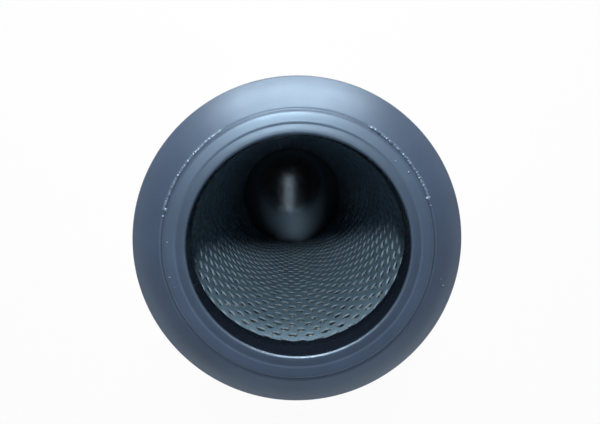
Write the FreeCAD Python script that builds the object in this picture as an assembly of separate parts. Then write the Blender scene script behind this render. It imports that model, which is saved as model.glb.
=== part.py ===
import FreeCAD, Part
import os
from math import cos, pi, sin, sqrt, tan

# Compressed air filter element: a pleated paper ring on a perforated steel centre tube,
# with a moulded polyurethane cap on each end. The open cap carries the radial seal.
# Millimetres. It stands on its closed end: the origin is the middle of the rest face,
# and +Z runs along the axis to the open end.

overall_height = 300.0

# Centre tube, rolled from perforated steel sheet
sheet = 0.8
# Share of the hole spacing that a hole takes: 5 mm holes at 8 mm
hole_share = 0.625
# The real sheet has 39 holes around. These are fewer and larger, with the same open area.
holes_around = 10
# The sheet bends in steps, this many to each hole spacing, so that each side of a hole
# lies in one flat strip
strips_per_hole = 4
# Least plain sheet between a cap and the nearest hole
plain_edge = 3.0

# Pleated paper
pleats = 72
paper = 0.5
# From the outer folds in to the inner folds
pleat_depth = 12.3
# Width of the flat at each fold, at mid thickness
fold_flat = 1.0
# Paper to centre tube
paper_clearance = 0.2

# Glue beads round the folds, which keep the pleats apart
bead_width = 3.0
bead_thickness = 1.0
lower_bead_height = 100.0
upper_bead_height = 185.0

# Clear gap between a cast or laid-on piece and what it holds
cast_gap = 0.1

# Open end cap
cap_od = 133.0
# Rubber outside the paper
skirt_wall = 3.9
# The seal bore is this far inside the outside of the centre tube
seal_lip = 6.75
seal_land = 8.0
lip_round = 1.3
# The face steps up this far inside the outside of the centre tube
step_inset = 2.3
step_up = 0.8
# Thin groove in the face, this far outside the centre tube
groove_offset = 2.9
groove_width = 2.0
groove_depth = 1.0
# Sloping shoulder from the groove to the widest edge
shoulder_lip_drop = 0.8
shoulder_drop = 7.9
shoulder_bulge = 0.6
shoulder_bevel = 0.8
# From the lip face down to where the centre tube comes out of the rubber
bore_depth = 26.0
# Cone from the seal land out to the tube
flare = 8.5
# Rubber over the inside of the centre tube
lap = 1.2
# The outer skirt hangs this much lower than the lap
skirt_extra = 3.0
# A rounded corner is drawn as this many short cones
round_steps = 3

# How deep the tube and the paper stand in each cap
open_embed = 8.0
closed_embed = 8.0

# Closed end cap, this much narrower all round than the open one
closed_inset = 0.5
floor_under_tube = 6.0
bottom_edge = 2.0
# Ring that the element stands on, round a shallow recess
rest_ring = 20.0
recess_depth = 1.5
recess_slope = 2.0

# Rubber fills the foot of the centre tube up to this height and closes it
inner_floor = 12.5

lip_face = overall_height - step_up
lap_end = lip_face - bore_depth
pack_top = lap_end + open_embed
pack_foot = floor_under_tube
pack_length = pack_top - pack_foot
skirt_end = lap_end - skirt_extra
closed_rim = pack_foot + closed_embed
pocket = cap_od / 2 - skirt_wall
pack_outside = pocket - cast_gap
pack_inside = pack_outside - pleat_depth
strips = strips_per_hole * holes_around
# The tube's strips bend at its outside and inside radius, and are nearest the axis midway
tube_outside = pack_inside - paper_clearance
tube_inside = tube_outside - sheet
tube_clear = tube_inside * cos(pi / strips) - cast_gap
seal_radius = tube_outside - seal_lip
step_radius = tube_outside - step_inset
groove_radius = tube_outside + groove_offset

axis_foot = FreeCAD.Vector(0, 0, 0)
axis = FreeCAD.Vector(0, 0, 1)


def rounded(before, corner, after, rounding):
    """Points along a rounded corner of an outline."""
    spot = FreeCAD.Vector(corner[0], 0, corner[1])
    back = (FreeCAD.Vector(before[0], 0, before[1]) - spot).normalize()
    onward = (FreeCAD.Vector(after[0], 0, after[1]) - spot).normalize()
    half_angle = back.getAngle(onward) / 2
    centre = spot + (back + onward).normalize() * (rounding / sin(half_angle))
    start = spot + back * (rounding / tan(half_angle)) - centre
    side = spot - centre
    side = (side - start * (side.dot(start) / rounding**2)).normalize() * rounding
    turn = (pi - 2 * half_angle) / round_steps
    return [
        centre + start * cos(turn * step) + side * sin(turn * step)
        for step in range(round_steps + 1)
    ]


def turned(*corners):
    """Solid turned from (radius, height) corners. A third value rounds that corner."""
    points = []
    for place, corner in enumerate(corners):
        if len(corner) > 2:
            after = corners[(place + 1) % len(corners)]
            points.extend(rounded(corners[place - 1], corner, after, corner[2]))
        else:
            points.append(FreeCAD.Vector(corner[0], 0, corner[1]))
    points.append(points[0])
    return Part.Face(Part.makePolygon(points)).revolve(axis_foot, axis, 360)


def bulged(start, end, bulge):
    """Point that stands out to the left of the middle of the way from start to end."""
    across = end[0] - start[0]
    down = end[1] - start[1]
    length = sqrt(across**2 + down**2)
    middle_radius = (start[0] + end[0]) / 2 - bulge * down / length
    middle_height = (start[1] + end[1]) / 2 + bulge * across / length
    return middle_radius, middle_height


def open_end_cap():
    """Moulded cap with the seal lip, the stepped face, the groove and the sloping shoulder."""
    wide = cap_od / 2
    shoulder_top = (groove_radius + groove_width / 2, overall_height - shoulder_lip_drop)
    shoulder_foot = (wide - shoulder_bevel / 2, shoulder_top[1] - shoulder_drop)
    land_end = lip_face - lip_round - seal_land
    lap_bore = tube_clear - lap
    return turned(
        (seal_radius, lip_face, lip_round),
        (step_radius - step_up / 2, lip_face),
        (step_radius + step_up / 2, overall_height),
        (groove_radius - groove_width / 2, overall_height),
        (groove_radius, overall_height - groove_depth),
        shoulder_top,
        bulged(shoulder_top, shoulder_foot, shoulder_bulge),
        shoulder_foot,
        (wide, shoulder_foot[1] - shoulder_bevel),
        (wide, skirt_end),
        (pocket, skirt_end),
        (pocket, pack_top),
        (tube_clear, pack_top),
        (tube_clear, lap_end),
        (lap_bore, lap_end),
        (lap_bore, land_end - flare),
        (seal_radius, land_end),
    )


def closed_end_cap():
    """Moulded cap that holds the tube and paper and closes the foot of the tube."""
    wide = cap_od / 2 - closed_inset
    ring = wide - rest_ring
    return turned(
        (0, recess_depth),
        (ring - recess_slope, recess_depth),
        (ring, 0),
        (wide - bottom_edge, 0),
        (wide, bottom_edge),
        (wide, closed_rim),
        (pocket, closed_rim),
        (pocket, pack_foot),
        (tube_clear, pack_foot),
        (tube_clear, inner_floor),
        (0, inner_floor),
    )


def ring_of_points(radius, count, height):
    """Corners of a regular prism's end, the first half a side past the X axis."""
    points = []
    for side in range(count + 1):
        angle = 2 * pi / count * (side + 0.5)
        points.append(FreeCAD.Vector(radius * cos(angle), radius * sin(angle), height))
    return points


def prism(points, length):
    """Upright solid on a closed outline."""
    return Part.Face(Part.makePolygon(points)).extrude(axis * length)


def hole_punch(hole_size):
    """Eight-sided punch along +X that narrows to a point on the axis.

    Its top and bottom sides are as wide as a strip, so its corners lie on the bends.
    """
    corner = tube_outside * tan(pi / strips)
    half = hole_size / 2
    reach = 1 + 2 * sheet / tube_outside
    sides = ((corner, half), (-corner, half), (-half, corner), (-half, -corner))
    sides += tuple((-across, -up) for across, up in sides)
    near = []
    for across, up in sides:
        near.append(FreeCAD.Vector(tube_outside, across, up) * reach)
    face = Part.Face(Part.makePolygon([*near, near[0]]))
    tip = FreeCAD.Vector(0, 0, 0)
    flanks = [
        Part.Face(Part.makePolygon([tip, start, end, tip]))
        for start, end in zip(near, [*near[1:], near[0]])
    ]
    return Part.Solid(Part.Shell([face, *flanks]))


def centre_tube():
    """Rolled sheet with staggered rows of holes between the two caps."""
    spacing = 2 * pi * tube_outside / holes_around
    row_spacing = spacing * sqrt(3) / 2
    hole_size = spacing * hole_share
    lowest = inner_floor + plain_edge + hole_size / 2
    highest = lap_end - plain_edge - hole_size / 2
    gaps = int((highest - lowest) / row_spacing)
    first_row = (lowest + highest - gaps * row_spacing) / 2
    wall = prism(ring_of_points(tube_outside, strips, pack_foot), pack_length)
    wall = wall.cut(prism(ring_of_points(tube_inside, strips, pack_foot), pack_length))
    punch = hole_punch(hole_size)
    punches = []
    for row in range(gaps + 1):
        for place in range(holes_around):
            hole = punch.copy()
            hole.rotate(axis_foot, axis, 360 / holes_around * (place + row % 2 / 2))
            hole.translate(axis * (first_row + row * row_spacing))
            punches.append(hole)
    return wall.cut(punches)


def zigzag(outer_radius, outer_flat, inner_radius, inner_flat):
    """Closed zigzag round the axis, with a flat at each fold."""
    points = []
    for fold in range(2 * pleats):
        radius, flat = (inner_radius, inner_flat) if fold % 2 else (outer_radius, outer_flat)
        angle = pi * fold / pleats
        for turn in (-flat / 2 / radius, flat / 2 / radius):
            points.append(
                FreeCAD.Vector(radius * cos(angle + turn), radius * sin(angle + turn), pack_foot)
            )
    return [*points, points[0]]


def pleated_media():
    """One strip of paper folded to and fro between the centre tube and the outside."""
    outer_side = zigzag(
        pack_outside, fold_flat + paper, pack_inside + paper, fold_flat - paper
    )
    inner_side = zigzag(
        pack_outside - paper, fold_flat - paper, pack_inside, fold_flat + paper
    )
    return prism(outer_side, pack_length).cut(prism(inner_side, pack_length))


def spacer_bead(height):
    """Flat bead of glue that runs from fold to fold round the outside of the paper."""
    inside = pack_outside + cast_gap
    bead = prism(ring_of_points(inside + bead_thickness, pleats, height), bead_width)
    return bead.cut(prism(ring_of_points(inside, pleats, height), bead_width))


nodes = {
    "open_end_cap": open_end_cap(),
    "closed_end_cap": closed_end_cap(),
    "centre_tube": centre_tube(),
    "pleated_media": pleated_media(),
    "lower_bead": spacer_bead(lower_bead_height),
    "upper_bead": spacer_bead(upper_bead_height),
}

os.makedirs("parts", exist_ok=True)
for name, shape in nodes.items():
    shape.exportStep(f"parts/{name}.step")
    box = shape.BoundBox
    print(
        f"{name}: {len(shape.Solids)} solid, valid {shape.isValid()}, {shape.Volume / 1000:.1f} cm3, "
        f"radius {box.XMax:.2f}, from {box.ZMin:.2f} to {box.ZMax:.2f}"
    )
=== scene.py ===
from math import ceil, cos, hypot, pi, radians, sin, tan

import bmesh
import bpy
from mathutils import Matrix, Vector, noise


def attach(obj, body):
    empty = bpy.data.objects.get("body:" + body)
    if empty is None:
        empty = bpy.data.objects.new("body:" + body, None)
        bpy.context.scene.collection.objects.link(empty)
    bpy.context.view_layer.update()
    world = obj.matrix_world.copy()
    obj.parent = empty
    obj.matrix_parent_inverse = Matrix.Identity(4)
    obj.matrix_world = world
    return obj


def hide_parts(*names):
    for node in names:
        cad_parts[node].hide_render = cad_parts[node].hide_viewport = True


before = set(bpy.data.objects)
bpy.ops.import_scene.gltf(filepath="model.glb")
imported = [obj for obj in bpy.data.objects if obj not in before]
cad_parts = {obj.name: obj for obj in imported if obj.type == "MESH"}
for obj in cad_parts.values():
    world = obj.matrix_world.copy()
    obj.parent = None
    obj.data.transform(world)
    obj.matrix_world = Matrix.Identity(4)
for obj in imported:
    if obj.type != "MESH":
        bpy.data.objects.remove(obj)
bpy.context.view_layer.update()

# Compressed air filter element. Each solid of the frame is replaced by a finer mesh of the
# same form. Lengths are in millimetres until a mesh is made, and in metres in materials and
# for the camera, the floor and the lamps. A clock angle is in degrees, clockwise from +Y as
# seen from above. Other angles are in radians, those round the axis from +X.
MM = 0.001

# Heights
RIM = 300.0
LIP_FACE = 299.86
SHOULDER_FOOT = 290.5
LAND_END = 289.9
FLARE_END = 281.4
PACK_TOP = 281.2
LAP_END = 273.2
SKIRT_END = 270.2
CLOSED_RIM = 14.0
INNER_FLOOR = 12.5
PACK_FOOT = 6.0
RECESS = 1.5

# Radii
LIP_INSIDE = 43.15
SEAL_BORE = 43.25
RECESS_EDGE = 44.0
REST_RING = 46.0
LAP_BORE = 47.75
TUBE_CLEAR = 48.95
TUBE_INSIDE = 49.2
TUBE_OUTSIDE = 50.0
POCKET = 62.6
CLOSED_WIDE = 66.0
CAP_WIDE = 66.5

# Outlines of the caps as (radius, height, rounding). The face runs from the low step over
# the groove and the shoulder to the widest edge.
FACE = (
    (47.1, LIP_FACE, 0.2),
    (48.0, RIM, 2.5),
    (51.6, RIM, 0.8),
    (52.75, 298.7, 0.35),
    (53.7, 298.82, 0.5),
    (60.49, 295.4, 50),
    (66.1, 291.3, 0.4),
    (CAP_WIDE, SHOULDER_FOOT, 0.5),
)
OPEN_CAP = (
    (LIP_INSIDE, LIP_FACE, 1.1),
    *FACE,
    (CAP_WIDE, SKIRT_END, 0.7),
    (POCKET, SKIRT_END, 0.3),
    (POCKET, PACK_TOP),
    (TUBE_CLEAR, PACK_TOP),
    (TUBE_CLEAR, LAP_END),
    (LAP_BORE, LAP_END, 0.3),
    (LAP_BORE, FLARE_END, 1.5),
    (SEAL_BORE, LAND_END, 1.5),
)
CLOSED_CAP = (
    (0, RECESS),
    (RECESS_EDGE, RECESS, 1.0),
    (REST_RING, 0, 0.8),
    (CLOSED_WIDE, 0, 2.4),
    (CLOSED_WIDE, CLOSED_RIM, 0.8),
    (POCKET, CLOSED_RIM, 0.3),
    (POCKET, PACK_FOOT),
    (TUBE_CLEAR, PACK_FOOT),
    (TUBE_CLEAR, INNER_FLOOR),
    (0, INNER_FLOOR),
)
# Longest run between two points of an outline, and steps round the axis
OPEN_CAP_REACH, OPEN_CAP_SEGMENTS = 1.6, 288
CLOSED_CAP_REACH, CLOSED_CAP_SEGMENTS = 3, 256

# A corner with a larger rounding than this is bent in more steps
LARGE_ROUNDING = 1.5
LARGE_STEPS, SMALL_STEPS = 8, 5

# Gloss of the rubber. The same amount also darkens its colour as painted shade in the bore
# under the lip, on the lip face, in the groove and on the floor of the core. The bore took its
# gloss from the mould's core, and the floor of the core set freely when it was poured, so it is
# glossier than the bore.
BORE_GLOSS_AND_SHADE = 1
LIP_GLOSS_AND_SHADE = 0.22
GROOVE_GLOSS_AND_SHADE = 0.3
FLOOR_GLOSS_AND_SHADE = 2.1
BORE_GLOSS_SHADE_TOP, BORE_GLOSS_SHADE_EDGE = 292, 48.55
LIP_GLOSS_SHADE_EDGE = 47.15
# Towards the lip the bore's gloss and painted shade fade over this width, to nothing at this
# radius
GLOSS_SHADE_FADE, GLOSS_SHADE_GONE = 0.3, 43.55
GROOVE_GLOSS_SHADE_FOOT = 298.5
GROOVE_GLOSS_SHADE_START, GROOVE_GLOSS_SHADE_END = 51.9, 53.4

# Arcs of moulding flash: two clock angles, the radius, the height and a seed
FLASH = (
    (286, 327, 53.5, 0.22, 1),
    (29, 69, 53.5, 0.25, 2),
)
FLASH_STATIONS_PER_DEGREE = 4
# Stations over which the flash rises at each end of an arc
FLASH_FADE = 8
FLASH_HALF_WIDTH = 0.65
# Its foot stands this far below the face
FLASH_SINK = 0.25

# Lumps on the face: the clock angle, the radius, and half the size round, out and up
SPECKS = (
    (286.4, 53.0, (0.9, 1.3, 0.5)),
    (283.5, 53.2, (0.4, 0.7, 0.25)),
    (68.9, 53.2, (0.8, 1.2, 0.55)),
    (72.2, 53.4, (0.35, 0.6, 0.25)),
    (31.5, 53.3, (0.7, 0.5, 0.5)),
    (34.5, 53.3, (0.9, 0.5, 0.55)),
    (37.5, 53.3, (0.6, 0.5, 0.45)),
    (41, 53.3, (0.8, 0.45, 0.45)),
    (45, 53.3, (0.7, 0.45, 0.45)),
    (49.5, 53.3, (0.8, 0.45, 0.4)),
    (55, 50.9, (0.45, 0.6, 0.3)),
    (47.5, 49.3, (0.35, 0.4, 0.2)),
    (272.9, 50.3, (0.35, 0.5, 0.25)),
    (257.6, 51, (0.25, 0.7, 0.12)),
    (252.7, 50.2, (0.25, 0.6, 0.12)),
    (103.3, 57.9, (0.4, 0.35, 0.25)),
    (105.5, 59.8, (0.3, 0.4, 0.2)),
)

# Perforated sheet
HOLES_AROUND = 39
HOLE = 5.0
HOLE_SIDES = 16

# Pleated paper. The radii of the folds are those of the paper's middle.
PLEATS = 72
PAPER = 0.5
INNER_FOLDS, OUTER_FOLDS = 51.75, 62.2
ROUND_IN, ROUND_OUT = 0.75, 0.85
# Steps to each side of a fold, and places on the flanks between the folds
FOLD_STEPS = 3
FLANK_SHARES = (0.25, 0.5, 0.75)
PAPER_LEVELS = 15
# How far the flanks bow and the outer folds fall short
BOW = 0.12
SLACK = 0.25
# How far the folds wander round the axis
OUTER_SWAY, INNER_SWAY = 0.006, 0.004
# Waves of it per millimetre of height
SWAY_WAVES, SLACK_WAVES = 0.012, 0.01

# Glue beads
LOWER_BEAD, UPPER_BEAD = 100, 185
BEAD_RADIUS = 62.56
BEAD_WIDTH = 3.0
BEAD_STATIONS_PER_FOLD = 6
BEAD_SIDES = 10
# Half the thickness between the folds, what a fold adds, and the sag between the folds
BEAD_THICK, BEAD_THICKER = 0.42, 0.07
BEAD_SAG = 0.25


def on_axis(radius, height, angle):
    """Point at a radius, a height and an angle."""
    return Vector((radius * cos(angle), radius * sin(angle), height))


def clock(angle):
    """Angle in radians from +X of a clock angle."""
    return radians(90 - angle)


def wave(x, y, z):
    """Smooth noise from about -1 to 1."""
    return noise.noise(Vector((x, y, z)))


def arc_points(before, corner, after, rounding, steps):
    """Points along a rounded corner of an outline of (radius, height) points."""
    spot = Vector(corner[:2])
    back = (Vector(before[:2]) - spot).normalized()
    onward = (Vector(after[:2]) - spot).normalized()
    half_angle = back.angle(onward) / 2
    centre = spot + (back + onward).normalized() * (rounding / sin(half_angle))
    start = spot + back * (rounding / tan(half_angle)) - centre
    side = spot - centre
    side = (side - start * (side.dot(start) / rounding**2)).normalized() * rounding
    turned = pi - 2 * half_angle
    points = []
    for step in range(steps + 1):
        angle = turned * step / steps
        points.append(centre + start * cos(angle) + side * sin(angle))
    return points


def outline(corners, reach):
    """Outline of (radius, height, rounding) corners, with long runs divided to about reach."""
    bent = []
    for place, corner in enumerate(corners):
        if len(corner) > 2:
            after = corners[(place + 1) % len(corners)]
            steps = LARGE_STEPS if corner[2] > LARGE_ROUNDING else SMALL_STEPS
            bent.extend(arc_points(corners[place - 1], corner, after, corner[2], steps))
        else:
            bent.append(Vector(corner))
    points = []
    for here, there in zip(bent, [*bent[1:], bent[0]]):
        parts = max(1, ceil((there - here).length / reach))
        for part in range(parts):
            points.append(here.lerp(there, part / parts))
    return points


def turn(maker, points, segments):
    """Turns a closed outline about the axis. Points on the axis are single."""
    rings = []
    for point in points:
        if point.x < 1e-6:
            rings.append([maker.verts.new((0, 0, point.y))] * segments)
            continue
        ring = []
        for step in range(segments):
            ring.append(maker.verts.new(on_axis(point.x, point.y, 2 * pi * step / segments)))
        rings.append(ring)
    for low, high in zip(rings, [*rings[1:], rings[0]]):
        for step in range(segments):
            after = (step + 1) % segments
            corners = []
            for vert in (low[step], low[after], high[after], high[step]):
                if vert not in corners:
                    corners.append(vert)
            if len(corners) > 2:
                maker.faces.new(corners)


def skin(maker, rings):
    """Faces between each ring of corners and the next."""
    for low, high in zip(rings, rings[1:]):
        for step in range(len(low)):
            after = (step + 1) % len(low)
            maker.faces.new((low[step], low[after], high[after], high[step]))


def finished(name, maker, material, node, sharp=35):
    """Piece from a bmesh, with crisp edges where it bends by more than sharp degrees."""
    bmesh.ops.recalc_face_normals(maker, faces=maker.faces)
    bmesh.ops.scale(maker, vec=(MM, MM, MM), verts=maker.verts)
    for face in maker.faces:
        face.smooth = True
    for edge in maker.edges:
        if len(edge.link_faces) == 2 and edge.calc_face_angle(0) > radians(sharp):
            edge.smooth = False
    mesh = bpy.data.meshes.new(name)
    maker.to_mesh(mesh)
    maker.free()
    mesh.materials.append(material)
    piece = bpy.data.objects.new(name, mesh)
    bpy.context.scene.collection.objects.link(piece)
    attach(piece, "root")
    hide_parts(node)


# Materials

# Colours, some from one tone to another
RUBBER = ((0.036, 0.052, 0.086), (0.043, 0.063, 0.103))
PALE_RUBBER = (0.46, 0.55, 0.64)
# Glossy rubber, darkened further as painted shade in the bore, on the lip face, in the groove
# and on the floor of the core
GLOSSY_SHADED_RUBBER = (0.0065, 0.0095, 0.016)
SHEEN = (0.63, 0.82, 0.98)
STEEL = ((0.19, 0.3, 0.385), (0.255, 0.385, 0.48))
DULL_STEEL = (0.184, 0.285, 0.36)
CUT_STEEL = (0.27, 0.365, 0.445)
CREAM = ((0.7, 0.69, 0.62), (0.84, 0.83, 0.78))
BLOTCH = (0.74, 0.72, 0.63)
GLUE = ((0.6, 0.55, 0.42), (0.74, 0.7, 0.58))
WHITE = (1, 1, 1)


class Tree:
    """Makes and links the nodes of a material or a world."""

    def __init__(self, owner):
        owner.use_nodes = True
        self.nodes = owner.node_tree.nodes
        self.links = owner.node_tree.links

    def feed(self, socket, value):
        """Links an output to a socket, or sets a fixed value or colour on it."""
        if isinstance(value, bpy.types.NodeSocket):
            self.links.new(value, socket)
        elif socket.type == "RGBA":
            socket.default_value = (*value, 1)
        else:
            socket.default_value = value

    def cloud(self, scale, detail, roughness=0.5, stretch=(1, 1, 1)):
        """Noise in the model's own coordinates. Scale is in waves per metre."""
        place = self.nodes.new("ShaderNodeTexCoord")
        mapping = self.nodes.new("ShaderNodeMapping")
        texture = self.nodes.new("ShaderNodeTexNoise")
        self.feed(mapping.inputs["Vector"], place.outputs["Object"])
        self.feed(mapping.inputs["Scale"], stretch)
        self.feed(texture.inputs["Vector"], mapping.outputs["Vector"])
        self.feed(texture.inputs["Scale"], scale)
        self.feed(texture.inputs["Detail"], detail)
        self.feed(texture.inputs["Roughness"], roughness)
        return texture.outputs["Fac"]

    def attribute(self, name):
        """Value that the mesh carries under a name."""
        node = self.nodes.new("ShaderNodeAttribute")
        node.attribute_name = name
        return node.outputs["Fac"]

    def ramp(self, source, tones, start=0.3, end=0.7):
        """Colour between two tones as the source goes from start to end."""
        node = self.nodes.new("ShaderNodeValToRGB")
        for element, position, tone in zip(node.color_ramp.elements, (start, end), tones):
            element.position = position
            element.color = (*tone, 1)
        self.feed(node.inputs["Fac"], source)
        return node.outputs["Color"]

    def spread(self, source, low, high, start=0.3, end=0.7):
        """Value from low to high as the source goes from start to end."""
        node = self.nodes.new("ShaderNodeMapRange")
        self.feed(node.inputs["Value"], source)
        self.feed(node.inputs["From Min"], start)
        self.feed(node.inputs["From Max"], end)
        self.feed(node.inputs["To Min"], low)
        self.feed(node.inputs["To Max"], high)
        return node.outputs["Result"]

    def combined(self, operation, *values):
        """Result of an operation on two or three values."""
        node = self.nodes.new("ShaderNodeMath")
        node.operation = operation
        for socket, value in zip(node.inputs, values):
            self.feed(socket, value)
        return node.outputs[0]

    def mixed(self, amount, first, second):
        """Mix of two colours, each an output or a fixed colour."""
        node = self.nodes.new("ShaderNodeMix")
        node.data_type = "RGBA"
        self.feed(node.inputs["Factor"], amount)
        self.feed(node.inputs[6], first)
        self.feed(node.inputs[7], second)
        return node.outputs[2]

    def bump(self, shader, height, depth, before=None, strength=None):
        """Bump of a depth in metres on the shader's normal."""
        node = self.nodes.new("ShaderNodeBump")
        self.feed(node.inputs["Distance"], depth)
        self.feed(node.inputs["Height"], height)
        if strength:
            self.feed(node.inputs["Strength"], strength)
        if before:
            self.feed(node.inputs["Normal"], before)
        self.feed(shader.inputs["Normal"], node.outputs["Normal"])
        return node.outputs["Normal"]

    def blend(self, amount, first, second):
        """Mix of the outputs of two shaders."""
        node = self.nodes.new("ShaderNodeMixShader")
        self.feed(node.inputs[0], amount)
        self.feed(node.inputs[1], first.outputs[0])
        self.feed(node.inputs[2], second.outputs[0])
        return node.outputs[0]

    def ray_kinds(self):
        """1 for camera rays, and 1 for glossy and transmission rays."""
        path = self.nodes.new("ShaderNodeLightPath")
        mirrored = self.combined(
            "MAXIMUM", path.outputs["Is Glossy Ray"], path.outputs["Is Transmission Ray"]
        )
        return path.outputs["Is Camera Ray"], mirrored


def new_material(name, **settings):
    """Material, its tree and its shader, with fixed values set on the shader."""
    material = bpy.data.materials.new(name)
    tree = Tree(material)
    shader = tree.nodes["Principled BSDF"]
    for setting, value in settings.items():
        tree.feed(shader.inputs[setting.replace("_", " ")], value)
    return material, tree, shader


def polyurethane():
    """Moulded, self-skinned polyurethane with a soft sheen and pale flash, darkened as painted
    shade where it is glossy.
    """
    material, tree, shader = new_material(
        "moulded_polyurethane", IOR=1.6, Specular_IOR_Level=1, Specular_Tint=SHEEN
    )
    flow = tree.cloud(45, 4, 0.6)
    grain = tree.cloud(1900, 3)
    wear = tree.cloud(160, 5, 0.65)
    gloss_and_shade = tree.attribute("gloss_and_shade")
    colour = tree.mixed(tree.attribute("pale"), tree.ramp(flow, RUBBER), PALE_RUBBER)
    # Painted shade: where the mesh carries gloss, the colour goes to the darker tone; the
    # roughness below is the real gloss
    colour = tree.mixed(gloss_and_shade, colour, GLOSSY_SHADED_RUBBER)
    tree.feed(shader.inputs["Base Color"], colour)
    matt = tree.spread(wear, 0.38, 0.44)
    tree.feed(shader.inputs["Roughness"], tree.combined("MULTIPLY_ADD", gloss_and_shade, -0.15, matt))
    # Where the gloss goes above the bore's, the surface is also more even
    evened = tree.spread(gloss_and_shade, 1, 0.03, BORE_GLOSS_AND_SHADE, 2)
    wavy = tree.bump(shader, flow, 0.0001, strength=evened)
    tree.bump(shader, grain, 0.00002, wavy, evened)
    return material


def galvanised():
    """Zinc-coated steel sheet with faint spangle and rolling marks, bare where it is cut."""
    material, tree, shader = new_material("galvanised_steel", Metallic=0.2)
    place = tree.nodes.new("ShaderNodeTexCoord")
    spangle = tree.nodes.new("ShaderNodeTexVoronoi")
    tree.feed(spangle.inputs["Vector"], place.outputs["Object"])
    tree.feed(spangle.inputs["Scale"], 380)
    tone = tree.nodes.new("ShaderNodeSeparateColor")
    tree.feed(tone.inputs["Color"], spangle.outputs["Color"])
    haze = tree.cloud(120, 5, 0.6)
    colour = tree.ramp(tone.outputs["Red"], STEEL, 0, 1)
    colour = tree.mixed(tree.spread(haze, 0, 0.6), colour, DULL_STEEL)
    colour = tree.mixed(tree.attribute("cut"), colour, CUT_STEEL)
    tree.feed(shader.inputs["Base Color"], colour)
    tree.feed(shader.inputs["Roughness"], tree.spread(haze, 0.48, 0.6))
    marks = tree.cloud(900, 3, 0.6, stretch=(1, 1, 0.08))
    tree.bump(shader, marks, 0.00002)
    return material


def paper():
    """Cream filter paper with fibres."""
    material, tree, shader = new_material(
        "filter_paper", Roughness=0.92, Specular_IOR_Level=0.25
    )
    fibres = tree.cloud(2600, 6, 0.75)
    stain = tree.spread(tree.cloud(90, 3), 0, 0.35)
    tree.feed(shader.inputs["Base Color"], tree.mixed(stain, tree.ramp(fibres, CREAM), BLOTCH))
    tree.bump(shader, fibres, 0.00006)
    return material


def glue():
    """Hot-melt glue, cream and slightly waxy."""
    material, tree, shader = new_material(
        "hot_melt_glue",
        Roughness=0.36,
        Subsurface_Weight=0.25,
        Subsurface_Radius=(0.002, 0.0014, 0.0008),
    )
    flow = tree.cloud(200, 4)
    tree.feed(shader.inputs["Base Color"], tree.ramp(flow, GLUE))
    tree.bump(shader, flow, 0.0002)
    return material


# Pieces


def face_height(radius):
    """Height of the open cap's face at a radius."""
    for (near, low, _), (far, high, _) in zip(FACE, FACE[1:]):
        if near <= radius <= far:
            return low + (high - low) * (radius - near) / (far - near)
    return LIP_FACE


def flash_strip(maker, start, end, radius, tallest, seed):
    """Ragged fin of moulding flash along the face, between two clock angles."""
    steps = int(abs(end - start) * FLASH_STATIONS_PER_DEGREE)
    stations = []
    for step in range(steps + 1):
        angle = start + (end - start) * step / steps
        ragged = wave(angle * 1.7, seed, 0)
        swell = wave(angle * 0.35, seed, 5)
        fade = min(1, step / FLASH_FADE, (steps - step) / FLASH_FADE)
        tip = tallest * fade * max(0.12, 0.5 + 0.9 * ragged + 0.5 * swell)
        middle = radius + 0.12 * wave(angle * 0.5, seed, 9)
        half = FLASH_HALF_WIDTH + 0.35 * max(0, ragged)
        foot = face_height(middle)
        section = ((-1, -FLASH_SINK), (-0.5, tip), (0.5, tip * 0.8), (1, -FLASH_SINK))
        stations.append([
            maker.verts.new(on_axis(middle + side * half, foot + up, clock(angle)))
            for side, up in section
        ])
    skin(maker, stations)
    maker.faces.new(stations[0])
    maker.faces.new(stations[-1])


def speck(maker, angle, radius, size, seed):
    """Small lump on the face at a clock angle, as a squashed and uneven ball."""
    made = bmesh.ops.create_icosphere(maker, subdivisions=2, radius=1)
    spot = on_axis(radius, face_height(radius), clock(angle))
    for vert in made["verts"]:
        uneven = 1 + 0.35 * noise.noise(vert.co * 1.8 + Vector((seed, 0, 0)))
        stretched = Vector([part * half for part, half in zip(vert.co, size)])
        stretched.rotate(Matrix.Rotation(clock(angle) - pi / 2, 3, "Z"))
        vert.co = spot + stretched * uneven


def open_cap_gloss_and_shade(point):
    """Gloss and painted shade of the open cap's rubber at a point: in the bore, on the lip, in
    the groove.
    """
    radius = hypot(point.x, point.y)
    if point.z < BORE_GLOSS_SHADE_TOP and radius < BORE_GLOSS_SHADE_EDGE:
        return BORE_GLOSS_AND_SHADE
    if radius < LIP_GLOSS_SHADE_EDGE:
        return min(BORE_GLOSS_AND_SHADE, max(LIP_GLOSS_AND_SHADE, (GLOSS_SHADE_GONE - radius) / GLOSS_SHADE_FADE))
    if point.z > GROOVE_GLOSS_SHADE_FOOT and GROOVE_GLOSS_SHADE_START < radius < GROOVE_GLOSS_SHADE_END:
        return GROOVE_GLOSS_AND_SHADE
    return 0


def open_end_cap(material):
    """Cap with the seal lip, the stepped face, the groove, the shoulder and its flash."""
    maker = bmesh.new()
    pale = maker.verts.layers.float.new("pale")
    gloss_and_shade = maker.verts.layers.float.new("gloss_and_shade")
    turn(maker, outline(OPEN_CAP, OPEN_CAP_REACH), OPEN_CAP_SEGMENTS)
    # Gloss, with painted shade in the bore, on the lip face and in the groove
    for vert in maker.verts:
        vert[gloss_and_shade] = open_cap_gloss_and_shade(vert.co)
    plain = len(maker.verts)
    for strip in FLASH:
        flash_strip(maker, *strip)
    for seed, (angle, radius, size) in enumerate(SPECKS):
        speck(maker, angle, radius, size, seed)
    maker.verts.ensure_lookup_table()
    for vert in maker.verts[plain:]:
        vert[pale] = 0.03 + 0.22 * max(0, noise.noise(vert.co * 0.6))
    finished("open_cap_dressed", maker, material, "open_end_cap")


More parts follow.
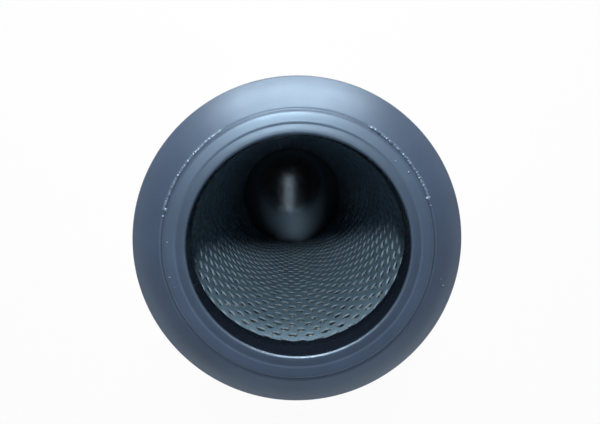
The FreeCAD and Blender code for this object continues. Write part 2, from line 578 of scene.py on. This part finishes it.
def closed_end_cap(material):
    """Closed cap with a rounded foot, a shallow recess below and the floor of the core."""
    maker = bmesh.new()
    maker.verts.layers.float.new("pale")
    gloss_and_shade = maker.verts.layers.float.new("gloss_and_shade")
    turn(maker, outline(CLOSED_CAP, CLOSED_CAP_REACH), CLOSED_CAP_SEGMENTS)
    # The floor of the core is glossy and darkened as painted shade
    for vert in maker.verts:
        if vert.co.z == INNER_FLOOR:
            vert[gloss_and_shade] = FLOOR_GLOSS_AND_SHADE
    finished("closed_cap_dressed", maker, material, "closed_end_cap")


def centre_tube(material):
    """Rolled sheet with its staggered round holes, their cut edges bare."""
    maker = bmesh.new()
    cut = maker.faces.layers.float.new("cut")
    length = PACK_TOP - PACK_FOOT
    row_height = 2 * pi * TUBE_OUTSIDE / HOLES_AROUND * sin(pi / 3)
    rows = int(length / row_height)
    foot = PACK_FOOT + (length - rows * row_height) / 2
    grid = {}

    def through(height, angle):
        """Corners on the outside and the inside of the sheet."""
        return (
            maker.verts.new(on_axis(TUBE_OUTSIDE, height, angle)),
            maker.verts.new(on_axis(TUBE_INSIDE, height, angle)),
        )

    def pair(along, up):
        """Corners at a place counted in half cells, with a plain strip at each end."""
        along %= 2 * HOLES_AROUND
        if (along, up) not in grid:
            if up < 0:
                height = PACK_FOOT
            elif up > 2 * rows:
                height = PACK_TOP
            else:
                height = foot + up * row_height / 2
            grid[along, up] = through(height, pi * along / HOLES_AROUND)
        return grid[along, up]

    def both(*corners):
        """The same face on the outside and the inside of the sheet."""
        maker.faces.new([corner[0] for corner in corners])
        maker.faces.new([corner[1] for corner in reversed(corners)])

    def edge(here, there):
        """Face through the sheet, from its outside to its inside."""
        return maker.faces.new((here[0], there[0], there[1], here[1]))

    around = ((1, 0), (1, 1), (0, 1), (-1, 1), (-1, 0), (-1, -1), (0, -1), (1, -1))
    for row in range(rows):
        for place in range(HOLES_AROUND):
            along = 2 * place + row % 2
            up = 2 * row + 1
            circle = []
            for side in range(HOLE_SIDES):
                turned = 2 * pi * side / HOLE_SIDES
                angle = pi * along / HOLES_AROUND + HOLE / 2 * cos(turned) / TUBE_OUTSIDE
                height = foot + up * row_height / 2 + HOLE / 2 * sin(turned)
                circle.append(through(height, angle))
            cell = [pair(along + right, up + above) for right, above in around]
            # Each eighth of a cell takes two sides of the hole
            for spot in range(len(cell)):
                before, middle, after = (circle[2 * spot + side] for side in (-1, 0, 1))
                both(cell[spot], middle, before)
                both(cell[spot], after, middle)
                both(cell[spot], cell[(spot + 1) % len(cell)], after)
            for side in range(HOLE_SIDES):
                edge(circle[side], circle[(side + 1) % HOLE_SIDES])[cut] = 1
    for low, high in ((-1, 0), (2 * rows, 2 * rows + 1)):
        for along in range(2 * HOLES_AROUND):
            both(
                pair(along, low), pair(along + 1, low), pair(along + 1, high), pair(along, high)
            )
    for up in (-1, 2 * rows + 1):
        for along in range(2 * HOLES_AROUND):
            edge(pair(along, up), pair(along + 1, up))
    finished("perforated_tube", maker, material, "centre_tube")


def pleat_line(offset, height):
    """Closed line of the folded paper, offset to one side of its middle, at a height."""
    points = []
    pitch = 2 * pi / PLEATS
    drift = height * SWAY_WAVES
    half_turn = [pi / 2 * step / FOLD_STEPS for step in range(-FOLD_STEPS, FOLD_STEPS + 1)]
    for pleat in range(PLEATS):
        # The factors of the pleat's number keep the pleats apart in the noise
        folds = [
            pitch * count + OUTER_SWAY * wave(count % PLEATS * 3.7, drift, 2)
            for count in (pleat, pleat + 1)
        ]
        valley = pitch * (pleat + 0.5) + INNER_SWAY * wave(pleat * 5.1, drift, 11)
        slack = SLACK * abs(wave(pleat * 2.3, height * SLACK_WAVES, 7))
        crown, trough = OUTER_FOLDS - slack - ROUND_OUT, INNER_FOLDS + ROUND_IN
        flanks = []
        for fold, side in ((folds[0], 1), (folds[1], -1)):
            flank = []
            for share in FLANK_SHARES:
                radius = crown * (1 - share) + trough * share
                start = fold + side * (ROUND_OUT + offset) / radius
                end = valley - side * (ROUND_IN - offset) / radius
                bow = side * BOW * sin(pi * share) / radius
                flank.append(on_axis(radius, height, start * (1 - share) + end * share + bow))
            flanks.append(flank)
        # Round the outer fold, then down the flank, round the inner fold and up the next
        for turned in half_turn:
            radius = crown + (ROUND_OUT + offset) * cos(turned)
            across = (ROUND_OUT + offset) * sin(turned)
            points.append(on_axis(radius, height, folds[0] + across / radius))
        points.extend(flanks[0])
        for turned in half_turn:
            radius = trough - (ROUND_IN - offset) * cos(turned)
            across = (ROUND_IN - offset) * sin(turned)
            points.append(on_axis(radius, height, valley + across / radius))
        points.extend(reversed(flanks[1]))
    return points


def pleated_media(material):
    """Folded paper with rounded, slightly uneven pleats."""
    maker = bmesh.new()
    outer_lines, inner_lines = [], []
    for level in range(PAPER_LEVELS + 1):
        height = PACK_FOOT + (PACK_TOP - PACK_FOOT) * level / PAPER_LEVELS
        for lines, offset in ((outer_lines, PAPER / 2), (inner_lines, -PAPER / 2)):
            lines.append([maker.verts.new(point) for point in pleat_line(offset, height)])
    skin(maker, outer_lines)
    skin(maker, inner_lines)
    for end in (0, -1):
        skin(maker, (outer_lines[end], inner_lines[end]))
    finished("folded_paper", maker, material, "pleated_media", 60)


def spacer_bead(name, node, height, material, seed):
    """Bead of glue laid over the folds, thinner where it spans between them."""
    maker = bmesh.new()
    stations = []
    for step in range(PLEATS * BEAD_STATIONS_PER_FOLD):
        angle = 2 * pi * step / (PLEATS * BEAD_STATIONS_PER_FOLD)
        on_fold = 0.5 + 0.5 * cos(2 * pi * step / BEAD_STATIONS_PER_FOLD)
        uneven = wave(cos(angle) * 9, sin(angle) * 9, seed)
        wander = wave(cos(angle) * 3, sin(angle) * 3, seed + 20)
        half = BEAD_WIDTH / 2 * (0.86 + 0.1 * on_fold + 0.12 * uneven)
        thick = BEAD_THICK + BEAD_THICKER * on_fold + 0.04 * uneven
        middle = BEAD_RADIUS + thick - BEAD_SAG * (1 - on_fold)
        level = height + BEAD_WIDTH / 2 + 0.12 * wander
        station = []
        for side in range(BEAD_SIDES):
            turned = 2 * pi * side / BEAD_SIDES
            station.append(maker.verts.new(
                on_axis(middle + thick * cos(turned), level + half * sin(turned), angle)
            ))
        stations.append(station)
    skin(maker, [*stations, stations[0]])
    finished(name, maker, material, node, 70)


# Camera, at the photograph's place and tilt

SENSOR, LENS = 36, 26.64
NEAREST = 0.01
CAMERA_PLACE = (-0.0043, 0.0321, 0.4676)
TILT, ROLL = radians(6.12), radians(1.58)

camera_data = bpy.data.cameras.new("camera")
camera_data.sensor_width = SENSOR
camera_data.lens = LENS
camera_data.clip_start = NEAREST
camera = bpy.data.objects.new("camera", camera_data)
bpy.context.scene.collection.objects.link(camera)
bpy.context.scene.camera = camera
look = Matrix.Rotation(TILT, 3, "X") @ Matrix.Rotation(ROLL, 3, "Y")
camera.matrix_world = Matrix.Translation(CAMERA_PLACE) @ look.transposed().to_4x4()

rubber = polyurethane()
steel = galvanised()
media = paper()
glue_finish = glue()

open_end_cap(rubber)
closed_end_cap(rubber)
centre_tube(steel)
pleated_media(media)
spacer_bead("bead_below", "lower_bead", LOWER_BEAD, glue_finish, 1)
spacer_bead("bead_above", "upper_bead", UPPER_BEAD, glue_finish, 2)


# Floor: a plain surface that takes the shadow, mixed with white where the camera sees it
# and with less white in gloss

FLOOR_HALF = 4
FLOOR_WHITE = 0.94
WHITE_IN_GLOSS = 0.55

floor_maker = bmesh.new()
bmesh.ops.create_grid(floor_maker, x_segments=2, y_segments=2, size=FLOOR_HALF)
floor_mesh = bpy.data.meshes.new("floor")
floor_maker.to_mesh(floor_mesh)
floor_maker.free()
floor = bpy.data.objects.new("floor", floor_mesh)
bpy.context.scene.collection.objects.link(floor)
floor_material, tree, surface = new_material(
    "floor", Base_Color=(0.8, 0.8, 0.8), Roughness=0.9, Specular_IOR_Level=0.1
)
floor_mesh.materials.append(floor_material)
white = tree.nodes.new("ShaderNodeEmission")
tree.feed(white.inputs["Color"], WHITE)
tree.feed(white.inputs["Strength"], 1)
seen, mirrored = tree.ray_kinds()
dimmed = tree.combined("MULTIPLY", mirrored, WHITE_IN_GLOSS)
share = tree.combined("MULTIPLY", tree.combined("MAXIMUM", seen, dimmed), FLOOR_WHITE)
output = tree.nodes["Material Output"]
tree.feed(output.inputs["Surface"], tree.blend(share, surface, white))


# World: white where the camera sees it, partly white in gloss near the horizon, and
# otherwise an even dim room that is dark straight above. The slope of a direction goes
# from 0 at the horizon to 1 straight up.

ROOM, OVERHEAD = 0.11, 0.006
ROOM_SLOPE, OVERHEAD_SLOPE = 0.75, 0.98
HORIZON, HORIZON_SLOPE = 0.38, 0.1

world = bpy.data.worlds.new("world")
bpy.context.scene.world = world
tree = Tree(world)
direction = tree.nodes.new("ShaderNodeTexCoord")
parts = tree.nodes.new("ShaderNodeSeparateXYZ")
tree.feed(parts.inputs[0], direction.outputs["Generated"])
slope = parts.outputs["Z"]
room = tree.nodes.new("ShaderNodeBackground")
tree.feed(
    room.inputs["Strength"], tree.spread(slope, ROOM, OVERHEAD, ROOM_SLOPE, OVERHEAD_SLOPE)
)
backdrop = tree.nodes.new("ShaderNodeBackground")
tree.feed(backdrop.inputs["Color"], WHITE)
seen, mirrored = tree.ray_kinds()
low_down = tree.spread(slope, HORIZON, 0, 0, HORIZON_SLOPE)
share = tree.combined("MAXIMUM", seen, tree.combined("MULTIPLY", mirrored, low_down))
output = tree.nodes["World Output"]
tree.feed(output.inputs["Surface"], tree.blend(share, room, backdrop))


# Lamps


def soft_box(name, place, aim, size, power, tint=WHITE):
    """Rectangular lamp at a place, turned towards aim."""
    data = bpy.data.lights.new(name, "AREA")
    data.shape = "RECTANGLE"
    data.size, data.size_y = size
    data.energy = power
    data.color = tint
    lamp = bpy.data.objects.new(name, data)
    bpy.context.scene.collection.objects.link(lamp)
    facing = (Vector(place) - Vector(aim)).to_track_quat("Z", "Y").to_matrix().to_4x4()
    lamp.matrix_world = Matrix.Translation(place) @ facing
    lamp.visible_camera = False
    return lamp


FACE_MIDDLE = (0, 0, 0.298)

soft_box("lamp", (-0.013, 0.131, 0.548), FACE_MIDDLE, (0.03, 0.03), 0.88, (0.9, 0.96, 1))
soft_box("window", (-0.03, 0.86, 0.6), FACE_MIDDLE, (1, 0.4), 12.6)
soft_box("fill", (0.16, -0.86, 0.52), (0, 0, 0.27), (1.2, 0.4), 0.75, (0.75, 0.87, 1))
# The floor of the core mirrors this one as a streak
soft_box("strip", (-0.002, -0.034, 0.48), (-0.002, -0.034, 0), (0.016, 0.084), 0.0083)
# These light the paper from the front, and leave no shine on the shoulder
for name, side in (("low_left", -1), ("low_right", 1)):
    low_box = soft_box(name, (0.75 * side, -0.75, 0.14), (0, 0, 0.14), (0.8, 0.24), 6)
    low_box.visible_glossy = False

bpy.context.scene.view_settings.view_transform = "Standard"
